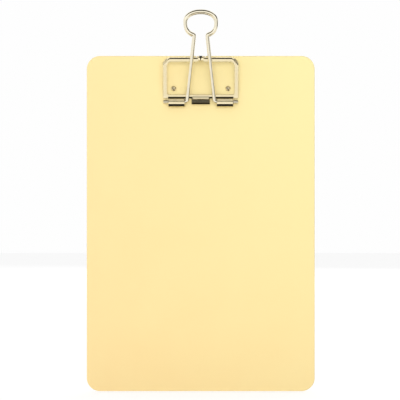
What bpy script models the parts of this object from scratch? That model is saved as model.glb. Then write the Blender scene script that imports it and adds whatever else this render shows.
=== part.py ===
"""Small clipboard with a hollow binder-style clip.

Metres, +Z up. The board stands upright on its foot edge with the clip at the top and the writing
face towards -Y. The origin is the centre of the foot edge; +X is to the right of the writing face.

Every piece is drawn lying on its back: x across the board, y up the board from its centre, z out
of the writing face with 0 at the back face. The empty "standing" then stands the whole thing up.
"""

import math

import bmesh
import bpy
from mathutils import Vector

MM = 0.001

# ---- driving dimensions, in millimetres -------------------------------------------------------
BOARD_W = 155.0          # across X
BOARD_H = 228.0          # along Y
BOARD_T = 2.5            # thickness
BOARD_R = 9.0            # corner radius in plan
BOARD_EDGE = 0.5         # rounding of the long edges
NOTCH_HALF = 3.1         # half width of the notch that lets the spine through
NOTCH_DEPTH = 1.4

GAP = 0.3                # between touching pieces

CLIP_W = 51.0            # two-inch clip
SHEET = 0.5              # spring steel
STRIP = 2.6              # width of the front frame's side strips
CORNER_R = 4.0           # the frame's upper corners
FRAME_TOP = -0.53        # top of the clip, measured from the board's top edge
BAR_LOW = -3.6           # lower edge of the top bar
LIP_TOP = -26.4          # lower edge of the window
LIP_LOW = -28.9          # where the lip ends between the barrels
FOLD_Z = 11.5            # front of the fold above the board's back face
FOLD_R = 1.5             # the front leg's upper edge is bent back towards the board
FOLD_FLANGE = 0.7        # straight part after the bend

AXIS_Y = -31.3           # barrel axis, measured from the board's top edge
BARREL_R = 2.3           # outside of the rolled barrel
BARREL_BORE = 1.75
BARREL_IN = 11.0         # outer barrels run from here ...
BARREL_OUT = 22.8        # ... to here, each side
CENTRE_BARREL = 6.1      # half length of the centre barrel

STRAP_W = 5.5            # the spine
BACK_WINDOW = 11.5       # half width of the back leg's window

RIVET_X = 18.5
RIVET_Y = -22.2
RIVET_HOLE = 1.2
RIVET_SHANK = 0.9
RIVET_HEAD = 1.8

WIRE_R = 1.25
LEG_X0 = 9.4             # half spread of the handle's legs at the barrels
LEG_TAPER = 0.1095       # how fast the legs close, per millimetre
LOOP_S = 55.2            # distance from the barrel axis to the loop's widest line
LOOP_A = 10.65           # half width of the loop, to the wire's centre
LOOP_B_TOP = 7.0         # height of the loop above its widest line
LOOP_B_LOW = 10.0        # the lower arcs' own half height, cut off by the neck
NECK_R = 2.2             # bend between a leg and the loop
FOOT_R = 1.6             # bend between a leg and its foot
FOOT_END = 26.2          # the feet stand out of the barrels
HANDLE_REST = 15.2       # degrees the front handle leans out from the board

TOP = BOARD_H / 2        # the board's top edge
FRONT_AXIS_Z = BOARD_T + GAP + BARREL_R
BACK_AXIS_Z = -GAP - BARREL_R


# ---- helpers ----------------------------------------------------------------------------------
def clear_scene():
    for ob in list(bpy.data.objects):
        bpy.data.objects.remove(ob, do_unlink=True)


def material(name, colour, roughness, metallic):
    mat = bpy.data.materials.new(name)
    mat.use_nodes = True
    shader = mat.node_tree.nodes["Principled BSDF"]
    shader.inputs["Base Color"].default_value = (*colour, 1.0)
    shader.inputs["Roughness"].default_value = roughness
    shader.inputs["Metallic"].default_value = metallic
    mat.diffuse_color = (*colour, 1.0)
    return mat


def standing():
    """The empty that turns the lying pieces upright, with the foot edge's centre at the origin."""
    empty = bpy.data.objects.get("standing")
    if empty is None:
        empty = bpy.data.objects.new("standing", None)
        empty.rotation_euler = (math.radians(90), 0, 0)
        empty.location = (0, BOARD_T / 2 * MM, BOARD_H / 2 * MM)
        bpy.context.scene.collection.objects.link(empty)
    return empty


def finish(bm, name, mat=None, smooth=True):
    bmesh.ops.recalc_face_normals(bm, faces=bm.faces)
    mesh = bpy.data.meshes.new(name)
    bm.to_mesh(mesh)
    bm.free()
    ob = bpy.data.objects.new(name, mesh)
    bpy.context.scene.collection.objects.link(ob)
    ob.parent = standing()
    if mat is not None:
        mesh.materials.append(mat)
    if smooth:
        mesh.shade_smooth()
        mesh.set_sharp_from_angle(angle=math.radians(35))
    return ob


def rounded_outline(x0, y0, x1, y1, radii, steps=8):
    """Counter-clockwise outline; radii in the order lower left, lower right, upper right, upper left."""
    corners = [
        (x0, y0, 1, 1, 180, radii[0]),
        (x1, y0, -1, 1, 270, radii[1]),
        (x1, y1, -1, -1, 0, radii[2]),
        (x0, y1, 1, -1, 90, radii[3]),
    ]
    points = []
    for cx, cy, sx, sy, start, r in corners:
        if r <= 0:
            points.append((cx, cy))
            continue
        for i in range(steps + 1):
            a = math.radians(start + 90 * i / steps)
            points.append((cx + sx * r + r * math.cos(a), cy + sy * r + r * math.sin(a)))
    return points


def prism(outline, z0, z1, name, mat=None):
    """Plan outline in millimetres, extruded from z0 to z1."""
    bm = bmesh.new()
    low = [bm.verts.new((x * MM, y * MM, z0 * MM)) for x, y in outline]
    face = bm.faces.new(low)
    made = bmesh.ops.extrude_face_region(bm, geom=[face])
    up = [v for v in made["geom"] if isinstance(v, bmesh.types.BMVert)]
    bmesh.ops.translate(bm, verts=up, vec=(0, 0, (z1 - z0) * MM))
    return finish(bm, name, mat)


def profile_bar(profile, x0, x1, name, mat=None):
    """Side profile (y, z) in millimetres, extruded across X."""
    bm = bmesh.new()
    side = [bm.verts.new((x0 * MM, y * MM, z * MM)) for y, z in profile]
    face = bm.faces.new(side)
    made = bmesh.ops.extrude_face_region(bm, geom=[face])
    far = [v for v in made["geom"] if isinstance(v, bmesh.types.BMVert)]
    bmesh.ops.translate(bm, verts=far, vec=((x1 - x0) * MM, 0, 0))
    return finish(bm, name, mat)


def box(x0, y0, z0, x1, y1, z1, name):
    return prism([(x0, y0), (x1, y0), (x1, y1), (x0, y1)], z0, z1, name)


def cylinder(x, y, z0, z1, r, name, steps=20):
    ring = [
        (x + r * math.cos(2 * math.pi * i / steps), y + r * math.sin(2 * math.pi * i / steps))
        for i in range(steps)
    ]
    return prism(ring, z0, z1, name)


def cut(ob, cutter):
    cutter.hide_render = True
    cutter.display_type = "WIRE"
    mod = ob.modifiers.new(cutter.name, "BOOLEAN")
    mod.operation = "DIFFERENCE"
    mod.solver = "EXACT"
    mod.object = cutter


# ---- the board --------------------------------------------------------------------------------
def make_board(mat):
    """Panel with rounded corners; each face is inset by the edge rounding."""
    steps = 10
    outline = rounded_outline(
        -BOARD_W / 2, -BOARD_H / 2, BOARD_W / 2, BOARD_H / 2, [BOARD_R] * 4, steps
    )
    e = BOARD_EDGE
    k = 1 - math.cos(math.radians(45))
    levels = [  # inset, z: the long edges are rounded in two facets
        (e, 0.0),
        (e * k, e * k),
        (0.0, e),
        (0.0, BOARD_T - e),
        (e * k, BOARD_T - e * k),
        (e, BOARD_T),
    ]
    bm = bmesh.new()
    rings = []
    for inset, z in levels:
        ring = []
        for x, y in outline:
            # the inset runs towards each corner's own centre, or square to a straight side
            cx = math.copysign(max(abs(x) - (BOARD_W / 2 - BOARD_R), 0), x)
            cy = math.copysign(max(abs(y) - (BOARD_H / 2 - BOARD_R), 0), y)
            scale = (BOARD_R - inset) / BOARD_R
            ring.append(
                bm.verts.new(
                    (
                        (x - cx + cx * scale) * MM,
                        (y - cy + cy * scale) * MM,
                        z * MM,
                    )
                )
            )
        rings.append(ring)
    n = len(outline)
    for a, b in zip(rings, rings[1:]):
        for i in range(n):
            bm.faces.new((a[i], a[(i + 1) % n], b[(i + 1) % n], b[i]))
    for ring in (rings[0], rings[-1]):
        # a diagonal, from the lower right corner's upper end to the upper left corner's lower
        # end, keeps the plain lower half of each face whole, clear of the clip
        face = bm.faces.new(ring)
        bmesh.utils.face_split(face, ring[2 * steps + 1], ring[4 * steps + 3])
    board = finish(bm, "board", mat)
    cut(
        board,
        prism(
            rounded_outline(
                -NOTCH_HALF, TOP - NOTCH_DEPTH, NOTCH_HALF, TOP + 5, [0.5, 0.5, 0, 0], steps=3
            ),
            -5,
            5 + BOARD_T,
            "cut_notch",
        ),
    )
    for side, label in ((-1, "left"), (1, "right")):
        cut(
            board,
            cylinder(side * RIVET_X, TOP + RIVET_Y, -5, 8, RIVET_HOLE, "cut_board_" + label),
        )
    return board


# ---- the clip's sheet profiles ----------------------------------------------------------------
def barrel_profile(axis_z, sheet, lean, steps=22):
    """The lip's flat end rolled up into a barrel; out=+1 rolls towards +Z, -1 towards -Z.

    Returns the outer and the inner line from the lip round to the free edge.
    """
    outer, inner = [], []
    sweep = 302.0
    for i in range(steps + 1):
        a = math.radians(-90 - sweep * i / steps)
        y = AXIS_Y + BARREL_R * math.cos(a)
        z = axis_z + lean * BARREL_R * math.sin(a)
        outer.append((y, z))
        y = AXIS_Y + (BARREL_R - sheet) * math.cos(a)
        z = axis_z + lean * (BARREL_R - sheet) * math.sin(a)
        inner.append((y, z))
    return outer, inner


def fold_centre():
    return FRAME_TOP - FOLD_R, FOLD_Z - FOLD_R


def frame_angle():
    """Angle of the front leg's face, which runs from the lip's bend to the fold's circle."""
    cy, cz = fold_centre()
    angle = 0.3
    for _ in range(20):
        y, z = cy - FOLD_R * math.sin(angle), cz + FOLD_R * math.cos(angle)
        rise = SHEET / math.cos(angle)
        angle = math.atan2(z - (BOARD_T + GAP + rise), y - (LIP_LOW + 1.0))
    return angle


def fold_arc(radius, steps=8):
    """Arc about the fold's centre, from the sloping face round to square with the board."""
    cy, cz = fold_centre()
    start = -frame_angle()
    points = []
    for i in range(steps + 1):
        t = start + (math.pi / 2 - start) * i / steps
        points.append((cy + radius * math.sin(t), cz + radius * math.cos(t)))
    return points


def make_front_jaw(mat):
    """Front leg: bent-over upper edge, sloping open frame, flat lip, three rolled barrels."""
    sheet = BARREL_R - BARREL_BORE
    outer, inner = barrel_profile(FRONT_AXIS_Z, sheet, 1)
    angle = frame_angle()
    lip_z = BOARD_T + GAP
    bend_y = LIP_LOW + 1.0
    flange_z = fold_centre()[1] - FOLD_FLANGE
    under = [(FRAME_TOP - SHEET, flange_z)]
    under += list(reversed(fold_arc(FOLD_R - SHEET))) + [(bend_y, lip_z)]
    over = [(bend_y + 0.1, lip_z + SHEET / math.cos(angle) + 0.1 * math.tan(angle))]
    over += fold_arc(FOLD_R) + [(FRAME_TOP, flange_z)]
    profile = under + outer + list(reversed(inner)) + over
    profile = [(y + TOP, z) for y, z in profile]
    jaw = profile_bar(profile, -CLIP_W / 2, CLIP_W / 2, "front_jaw", mat)
    half = CLIP_W / 2
    cut(
        jaw,
        prism(
            rounded_outline(
                -(half - STRIP),
                TOP + LIP_TOP,
                half - STRIP,
                TOP + BAR_LOW,
                [1.0, 1.0, 2.4, 2.4],
                steps=5,
            ),
            -1,
            20,
            "cut_window",
        ),
    )
    shape_ends(jaw, "front", -1, 20)
    return jaw


def shape_ends(ob, label, z0, z1):
    """Gaps between the barrels, free ends beside them, and the two rounded upper corners."""
    half = CLIP_W / 2
    for side, word in ((-1, "left"), (1, "right")):
        a, b = sorted((side * CENTRE_BARREL, side * BARREL_IN))
        cut(ob, box(a, TOP - 40, z0, b, TOP + LIP_LOW, z1, f"cut_{label}_gap_{word}"))
        a, b = sorted((side * BARREL_OUT, side * (half + 3)))
        cut(ob, box(a, TOP - 40, z0, b, TOP + LIP_LOW, z1, f"cut_{label}_end_{word}"))
        # a square corner less its quarter round
        cx, cy = half - CORNER_R, TOP + FRAME_TOP - CORNER_R
        outline = [(half + 2, cy), (half + 2, TOP + FRAME_TOP + 2), (cx, TOP + FRAME_TOP + 2)]
        for i in range(9):
            t = math.radians(90 - 90 * i / 8)
            outline.append((cx + CORNER_R * math.cos(t), cy + CORNER_R * math.sin(t)))
        if side < 0:
            outline = [(-x, y) for x, y in reversed(outline)]
        cut(ob, prism(outline, z0, z1, f"cut_{label}_corner_{word}"))


def make_back_plate(mat):
    """Back leg: flat on the board's back, with the same barrels rolled outwards."""
    sheet = BARREL_R - BARREL_BORE
    outer, inner = barrel_profile(BACK_AXIS_Z, sheet, -1)
    top = FRAME_TOP - SHEET - GAP
    profile = [(top, -GAP)] + outer + list(reversed(inner)) + [(top, -GAP - SHEET)]
    # the sheet keeps one thickness up to the barrel
    profile = [(y + TOP, z) for y, z in profile]
    plate = profile_bar(profile, -CLIP_W / 2, CLIP_W / 2, "clip_back_plate", mat)
    cut(
        plate,
        prism(
            rounded_outline(
                -BACK_WINDOW, TOP - 25.0, BACK_WINDOW, TOP - 6.5, [2.0] * 4, steps=4
            ),
            -12,
            5,
            "cut_back_window",
        ),
    )
    shape_ends(plate, "back", -12, 5)
    for side, word in ((-1, "left"), (1, "right")):
        cut(
            plate,
            cylinder(side * RIVET_X, TOP + RIVET_Y, -5, 5, RIVET_HOLE, "cut_plate_" + word),
        )
    return plate


def make_spine(mat):
    """Centre strap: stands square to the board in its notch, between the two legs."""
    outer = TOP + FRAME_TOP
    inner = outer - SHEET
    top = fold_centre()[1] - FOLD_FLANGE - GAP
    bm = bmesh.new()
    half = STRAP_W / 2
    flare = 1.1  # the strap widens into the front leg
    outline = [
        (-half, -GAP - SHEET),
        (half, -GAP - SHEET),
        (half, top - 2.2),
        (half + 0.3, top - 1.0),
        (half + flare, top),
        (-half - flare, top),
        (-half - 0.3, top - 1.0),
        (-half, top - 2.2),
    ]
    near = [bm.verts.new((x * MM, inner * MM, z * MM)) for x, z in outline]
    face = bm.faces.new(near)
    made = bmesh.ops.extrude_face_region(bm, geom=[face])
    far = [v for v in made["geom"] if isinstance(v, bmesh.types.BMVert)]
    bmesh.ops.translate(bm, verts=far, vec=(0, SHEET * MM, 0))
    return finish(bm, "clip_spine", mat)


# ---- the handles ------------------------------------------------------------------------------
def fillet(a, corner, b, radius, steps):
    """Arc of the given radius between the lines corner-a and corner-b."""
    ua, ub = (a - corner).normalized(), (b - corner).normalized()
    angle = ua.angle(ub)
    reach = radius / math.tan(angle / 2)
    centre = corner + (ua + ub).normalized() * (radius / math.sin(angle / 2))
    start, end = corner + ua * reach, corner + ub * reach
    va, vb = start - centre, end - centre
    total = va.angle(vb)
    points = []
    for i in range(steps + 1):
        t = i / steps
        points.append(
            centre
            + (va * math.sin((1 - t) * total) + vb * math.sin(t * total)) / math.sin(total)
        )
    return points


def half_path():
    """Right half of the handle's centre line in its own plane (x, s), foot end to loop top."""
    axis = Vector((LEG_X0, 0.0))
    foot = Vector((FOOT_END, 0.0))
    # lower arc of the loop, as far down as the neck
    t_end = math.acos(5.6 / LOOP_A)
    shoulder = Vector((LOOP_A * math.cos(t_end), LOOP_S - LOOP_B_LOW * math.sin(t_end)))
    tangent = Vector((-LOOP_A * math.sin(t_end), -LOOP_B_LOW * math.cos(t_end)))
    # the leg's line x = LEG_X0 - LEG_TAPER s meets the arc's tangent at the neck
    k = (LEG_X0 - LEG_TAPER * shoulder.y - shoulder.x) / (tangent.x + LEG_TAPER * tangent.y)
    neck = shoulder + tangent * k
    path = [foot]
    path += fillet(foot, axis, neck, FOOT_R, 5)
    path += fillet(axis, neck, shoulder, min(NECK_R, 0.9 * (shoulder - neck).length), 5)
    steps = 8
    for i in range(steps + 1):
        t = t_end * (1 - i / steps)
        path.append(Vector((LOOP_A * math.cos(t), LOOP_S - LOOP_B_LOW * math.sin(t))))
    steps = 11
    for i in range(1, steps + 1):
        t = math.radians(90) * i / steps
        path.append(Vector((LOOP_A * math.cos(t), LOOP_S + LOOP_B_TOP * math.sin(t))))
    kept = [path[0]]
    for p in path[1:]:
        if (p - kept[-1]).length > 0.12:
            kept.append(p)
    return kept


def make_handle(name, mat, sides=12):
    """Round wire swept along the centre line; the origin is on the barrel axis."""
    half = half_path()
    line = [Vector((p.x, p.y)) for p in half]
    line += [Vector((-p.x, p.y)) for p in reversed(half[:-1])]
    bm = bmesh.new()
    rings = []
    for i, p in enumerate(line):
        before = line[max(i - 1, 0)]
        after = line[min(i + 1, len(line) - 1)]
        tangent = (after - before).normalized()
        normal = Vector((-tangent.y, tangent.x))
        # the mitre keeps the wire's full width round a bend
        if 0 < i < len(line) - 1:
            turn = (p - before).normalized().angle((after - p).normalized())
            wide = 1 / math.cos(turn / 2)
        else:
            wide = 1.0
        ring = []
        for j in range(sides):
            a = 2 * math.pi * j / sides
            across = WIRE_R * math.cos(a) * wide
            ring.append(
                bm.verts.new(
                    (
                        (p.x + normal.x * across) * MM,
                        (p.y + normal.y * across) * MM,
                        WIRE_R * math.sin(a) * MM,
                    )
                )
            )
        rings.append(ring)
    for a, b in zip(rings, rings[1:]):
        for j in range(sides):
            bm.faces.new((a[j], a[(j + 1) % sides], b[(j + 1) % sides], b[j]))
    bm.faces.new(rings[0])
    bm.faces.new(rings[-1])
    return finish(bm, name, mat)


# ---- the rivets -------------------------------------------------------------------------------
def make_rivet(name, x, mat, steps=16):
    """Turned about its own axis: dished head on the writing face, clinched rim behind."""
    head = BOARD_T + GAP
    back = -GAP - SHEET - GAP
    profile = [
        (0.0, head + 0.72),
        (0.55, head + 0.78),
        (0.95, head + 0.85),
        (1.4, head + 0.62),
        (RIVET_HEAD, head + 0.12),
        (RIVET_HEAD, head),
        (RIVET_SHANK, head),
        (RIVET_SHANK, back),
        (1.7, back),
        (1.7, back - 0.25),
        (1.35, back - 0.6),
        (0.75, back - 0.6),
        (0.45, back - 0.2),
        (0.0, back - 0.2),
    ]
    bm = bmesh.new()
    verts = [bm.verts.new((r * MM, 0, z * MM)) for r, z in profile]
    edges = [bm.edges.new((a, b)) for a, b in zip(verts, verts[1:])]
    bmesh.ops.spin(
        bm,
        geom=verts + edges,
        cent=(0, 0, 0),
        axis=(0, 0, 1),
        angle=2 * math.pi,
        steps=steps,
        use_merge=True,
    )
    bmesh.ops.remove_doubles(bm, verts=bm.verts, dist=1e-7)
    rivet = finish(bm, name, mat)
    rivet.location = (x * MM, (TOP + RIVET_Y) * MM, 0)
    return rivet


# ---- the assembly -----------------------------------------------------------------------------
def main():
    clear_scene()
    yellow = material("board_yellow", (0.98, 0.79, 0.39), 0.5, 0.0)
    gold = material("clip_gold", (0.86, 0.75, 0.52), 0.2, 1.0)
    wire = material("wire_gold", (0.90, 0.82, 0.62), 0.15, 1.0)
    rivet = material("rivet_gold", (0.80, 0.68, 0.45), 0.25, 1.0)

    make_board(yellow)
    make_back_plate(gold)
    make_spine(gold)
    make_front_jaw(gold)
    make_rivet("rivet_left", -RIVET_X, rivet)
    make_rivet("rivet_right", RIVET_X, rivet)

    front_axis = bpy.data.objects.new("front_handle_axis", None)
    front_axis.location = (0, (TOP + AXIS_Y) * MM, FRONT_AXIS_Z * MM)
    front_axis.rotation_euler = (math.radians(HANDLE_REST), 0, 0)
    back_axis = bpy.data.objects.new("back_handle_axis", None)
    back_axis.location = (0, (TOP + AXIS_Y) * MM, BACK_AXIS_Z * MM)
    for empty in (front_axis, back_axis):
        bpy.context.scene.collection.objects.link(empty)
        empty.parent = standing()
    make_handle("front_handle", wire).parent = front_axis
    make_handle("back_handle", wire).parent = back_axis


main()
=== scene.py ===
"""Looks of the small clipboard with a hollow binder-style clip.

The board stands on its foot edge, writing face towards -Y. Shapes are worked out lying down, in
millimetres: x across the board, y from its top edge (negative towards the foot), z out of the
writing face with 0 at the board's back; at() stands such a point up.
"""

import math

import bmesh
import bpy
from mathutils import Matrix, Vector
from mathutils.geometry import delaunay_2d_cdt


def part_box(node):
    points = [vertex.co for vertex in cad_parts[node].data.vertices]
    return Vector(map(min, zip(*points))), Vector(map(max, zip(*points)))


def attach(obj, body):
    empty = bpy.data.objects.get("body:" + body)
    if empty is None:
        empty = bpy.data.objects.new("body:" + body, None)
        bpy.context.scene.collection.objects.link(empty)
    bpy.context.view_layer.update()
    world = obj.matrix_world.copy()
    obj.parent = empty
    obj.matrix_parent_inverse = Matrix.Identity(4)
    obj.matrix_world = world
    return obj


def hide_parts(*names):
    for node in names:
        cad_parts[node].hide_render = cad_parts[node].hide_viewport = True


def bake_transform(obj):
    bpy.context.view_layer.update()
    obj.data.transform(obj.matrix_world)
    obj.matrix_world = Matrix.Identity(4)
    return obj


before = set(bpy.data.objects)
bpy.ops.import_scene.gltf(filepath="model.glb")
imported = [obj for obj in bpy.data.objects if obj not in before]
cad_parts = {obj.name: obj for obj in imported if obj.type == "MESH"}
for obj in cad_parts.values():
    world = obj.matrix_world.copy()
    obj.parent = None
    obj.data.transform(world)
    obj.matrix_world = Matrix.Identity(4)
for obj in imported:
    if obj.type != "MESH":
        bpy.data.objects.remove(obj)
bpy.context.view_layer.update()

MM = 0.001
TOP_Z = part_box("board")[1].z / MM        # the board's top edge
BACK_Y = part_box("board")[1].y / MM       # the board's back face
BOARD_W, BOARD_H, BOARD_T = 155.0, 228.0, 2.5

# ---- the clip, as in the frame ----------------------------------------------------------------
HALF = 25.5                              # half of the two-inch clip
SHEET = 0.5
STRIP = 2.6
CORNER_R = 5.3
FRAME_TOP = -0.53
BAR_LOW = -3.6
LIP_TOP = -26.4
LIP_LOW = -28.9
LIP_BEND = LIP_LOW + 1.0
FOLD_Z, FOLD_R, FLANGE = 11.5, 1.5, 0.7
LIP_Z = 2.8                              # back of the lip
AXIS_Y, FRONT_Z, BACK_Z = -31.3, 5.1, -2.6
ROLL = 2.05                              # barrel radius to the middle of the sheet
BARREL_IN, BARREL_OUT, CENTRE = 11.0, 22.1, 6.25
RIVET_X, RIVET_Y = 18.5, -22.2
WIRE_R, LEAN = 1.25, 15.2


def at(x, y, z):
    """A lying point in millimetres to the standing frame in metres."""
    return Vector((x * MM, (BACK_Y - z) * MM, (TOP_Z + y) * MM))


# ================================================================================================
# mesh helpers
# ================================================================================================
def new_object(name, bm, mat, sharp=40, weighted=True):
    bmesh.ops.recalc_face_normals(bm, faces=bm.faces)
    mesh = bpy.data.meshes.new(name)
    bm.to_mesh(mesh)
    bm.free()
    mesh.materials.append(mat)
    mesh.shade_smooth()
    mesh.set_sharp_from_angle(angle=math.radians(sharp))
    ob = bpy.data.objects.new(name, mesh)
    bpy.context.scene.collection.objects.link(ob)
    if weighted:
        mod = ob.modifiers.new("flat faces stay flat", "WEIGHTED_NORMAL")
        mod.keep_sharp = True
        mod.weight = 90
    return ob


def settle(ob):
    """Applies an object's modifiers to its own mesh."""
    bpy.context.view_layer.update()
    graph = bpy.context.evaluated_depsgraph_get()
    mesh = bpy.data.meshes.new_from_object(ob.evaluated_get(graph), depsgraph=graph)
    ob.modifiers.clear()
    ob.data = mesh


def filleted(corners, arc_step=7.5):
    """Closed counter-clockwise outline of (x, y, fillet radius) corners.

    Returns points with their outward normals, so that the outline can be inset exactly."""
    out = []
    n = len(corners)
    for i, (x, y, r) in enumerate(corners):
        c = Vector((x, y))
        a = Vector(corners[i - 1][:2])
        b = Vector(corners[(i + 1) % n][:2])
        d1, d2 = (c - a).normalized(), (b - c).normalized()
        turn = math.atan2(d1.x * d2.y - d1.y * d2.x, d1.dot(d2))
        start = math.atan2(d1.y, d1.x)
        steps = max(2, int(round(abs(math.degrees(turn)) / arc_step)))
        side = 1 if turn > 0 else -1
        centre = c - d1 * (r * math.tan(abs(turn) / 2)) + Vector((-d1.y, d1.x)) * (side * r)
        for k in range(steps + 1):
            t = start + turn * k / steps
            normal = Vector((math.sin(t), -math.cos(t)))
            out.append((centre + normal * (side * r), normal))
    return out


def ease(t):
    t = min(max(t, 0.0), 1.0)
    return t * t * (3 - 2 * t)


def inside(p, loop):
    hit = False
    for a, b in zip(loop, loop[1:] + loop[:1]):
        if (a.y > p.y) != (b.y > p.y) and p.x < a.x + (b.x - a.x) * (p.y - a.y) / (b.y - a.y):
            hit = not hit
    return hit


def filled(bm, loops, flat_of):
    """Fills flat loops of vertices, an outer one and then holes, leaving the holes open.

    flat_of gives a vertex's place in the plane."""
    verts = [v for loop in loops for v in loop]
    points = [flat_of(v) for v in verts]
    edges, outlines, first = [], [], 0
    for loop in loops:
        n = len(loop)
        edges += [(first + i, first + (i + 1) % n) for i in range(n)]
        outlines.append(points[first:first + n])
        first += n
    made = delaunay_2d_cdt(points, edges, [], 1, 1e-7)
    back = [verts[orig[0]] for orig in made[3]]
    for tri in made[2]:
        centre = sum((made[0][i] for i in tri), Vector((0.0, 0.0))) / len(tri)
        if inside(centre, outlines[0]) and not any(inside(centre, o) for o in outlines[1:]):
            bm.faces.new([back[i] for i in tri])


class Bend:
    """Side view (y, z) of a bent sheet's middle: straight runs and turns, by arc length."""

    def __init__(self, y, z, heading, runs):
        self.parts = []
        s, t = 0.0, math.radians(heading)
        for run in runs:
            if run[0] == "line":
                length, k = run[1], 0.0
            else:  # "left" or "right", radius, degrees
                length = run[1] * math.radians(run[2])
                k = (1 if run[0] == "left" else -1) / run[1]
            self.parts.append((s, y, z, t, k))
            if k:
                t2 = t + k * length
                y, z = y + (math.sin(t2) - math.sin(t)) / k, z - (math.cos(t2) - math.cos(t)) / k
                t = t2
            else:
                y, z = y + math.cos(t) * length, z + math.sin(t) * length
            s += length
        self.end = s

    def __call__(self, s):
        """(y, z), and the unit normal to the right of the way along the sheet."""
        part = self.parts[0]
        for p in self.parts:
            if s >= p[0] - 1e-9:
                part = p
        s0, y, z, t, k = part
        d = s - s0
        if k:
            t2 = t + k * d
            y, z = y + (math.sin(t2) - math.sin(t)) / k, z - (math.cos(t2) - math.cos(t)) / k
            t = t2
        else:
            y, z = y + math.cos(t) * d, z + math.sin(t) * d
        return y, z, math.sin(t), -math.cos(t)

    def s_at_y(self, y, low, high):
        """Arc length between low and high where the falling line passes y."""
        for _ in range(50):
            mid = (low + high) / 2
            if self(mid)[0] > y:
                low = mid
            else:
                high = mid
        return (low + high) / 2


def thicken(flat, place, half, edge):
    """Sheet with rounded edges. flat's vertices are (x, s, lift) on the true outline; place(v, x, s, h)
    gives the standing point at height h over the sheet's middle."""
    bmesh.ops.recalc_face_normals(flat, faces=flat.faces)
    if sum(f.normal.z for f in flat.faces) < 0:
        bmesh.ops.reverse_faces(flat, faces=flat.faces)
    bm = bmesh.new()
    outward = {}
    nexts = {}
    for e in flat.edges:
        if len(e.link_faces) == 1:
            loop = next(l for l in e.link_faces[0].loops if l.edge == e)
            a, b = loop.vert, loop.link_loop_next.vert
            d = (b.co - a.co).xy.normalized()
            normal = Vector((d.y, -d.x))
            nexts[a] = b
            for v in (a, b):
                outward.setdefault(v, []).append(normal)
    for v, found in outward.items():
        mean = (found[0] + found[-1]).normalized()
        outward[v] = mean / max(mean.dot(found[0]), 0.7)
    zero = Vector((0.0, 0.0))
    upper, lower = {}, {}
    for v in flat.verts:
        p = v.co.xy - outward.get(v, zero) * edge
        upper[v] = bm.verts.new(place(v, p.x, p.y, v.co.z + half))
        lower[v] = bm.verts.new(place(v, p.x, p.y, v.co.z - half))
    for f in flat.faces:
        bm.faces.new([upper[v] for v in f.verts])
        bm.faces.new([lower[v] for v in reversed(f.verts)])
    rim = {}
    for v in nexts:
        ring = [upper[v]]
        turns = [(math.radians(a), 1) for a in (30, 60, 90)]
        turns += [(a, -1) for a, _ in reversed(turns)]
        for a, sign in turns:
            p = v.co.xy - outward[v] * (edge * (1 - math.sin(a)))
            h = sign * (half - edge + edge * math.cos(a))
            ring.append(bm.verts.new(place(v, p.x, p.y, v.co.z + h)))
        rim[v] = ring + [lower[v]]
    for a, b in nexts.items():
        for i in range(len(rim[a]) - 1):
            bm.faces.new((rim[b][i], rim[a][i], rim[a][i + 1], rim[b][i + 1]))
    return bm


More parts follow.
